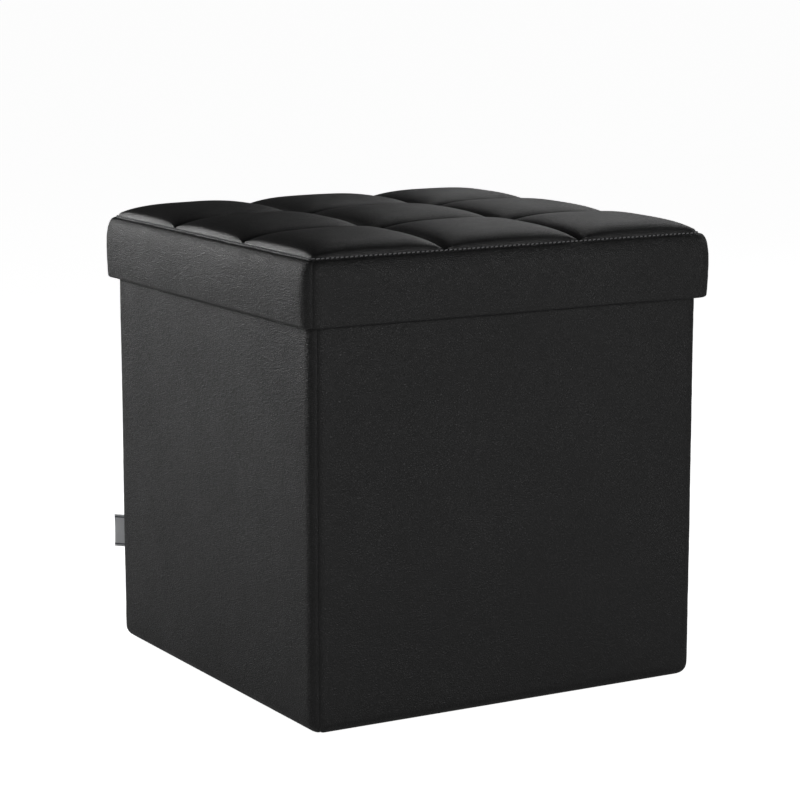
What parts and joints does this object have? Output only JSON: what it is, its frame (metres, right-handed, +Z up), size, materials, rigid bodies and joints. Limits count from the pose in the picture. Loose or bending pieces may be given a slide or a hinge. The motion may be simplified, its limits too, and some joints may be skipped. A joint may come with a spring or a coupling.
{
  "type": "storage ottoman",
  "caption": "Square upholstered storage ottoman with a lift-off quilted padded lid, rigid lined walls and a loose floor board.",
  "frame": {"origin": "on the ground, under the middle of the box", "axes": "+Z up, -Y towards the front, +X to the right when facing the front"},
  "size_m": [0.38, 0.38, 0.389],
  "materials": {
    "black_faux_leather": "pebbled grain, satin",
    "fibreboard": "raw medium-density board",
    "foam": "open-cell upholstery foam",
    "black_lining": "matte unwoven cloth",
    "label_weave": "woven satin",
    "ribbon": "grosgrain"
  },
  "bodies": {
    "box": {"front_wall_board": "fibreboard", "right_wall_board": "fibreboard", "back_wall_board": "fibreboard", "left_wall_board": "fibreboard", "front_wall_pad": "foam", "right_wall_pad": "foam", "back_wall_pad": "foam", "left_wall_pad": "foam", "front_cover_panel": "black_faux_leather", "right_cover_panel": "black_faux_leather", "back_cover_panel": "black_faux_leather", "left_cover_panel": "black_faux_leather", "wall_lining": "black_lining", "base_cloth": "black_lining", "seam_label": "label_weave"},
    "floor": {"floor_board": "fibreboard", "floor_board_cover": "black_lining", "floor_pull_tab": "ribbon"},
    "lid": {"front_lid_band": "black_faux_leather", "right_lid_band": "black_faux_leather", "back_lid_band": "black_faux_leather", "left_lid_band": "black_faux_leather", "lid_board": "fibreboard", "front_skirt_board": "fibreboard", "right_skirt_board": "fibreboard", "back_skirt_board": "fibreboard", "left_skirt_board": "fibreboard", "lid_lining": "black_lining", "lid_foam": "foam", "lid_top_cover": "black_faux_leather"}
  },
  "joints": [
    {"name": "lid_lift", "type": "slide", "parent": "box", "child": "lid", "axis": [0, 0, 1], "range_m": [0, 0.4]},
    {"name": "floor_board_lift", "type": "slide", "parent": "box", "child": "floor", "axis": [0, 0, 1], "range_m": [0, 0.33]}
  ]
}
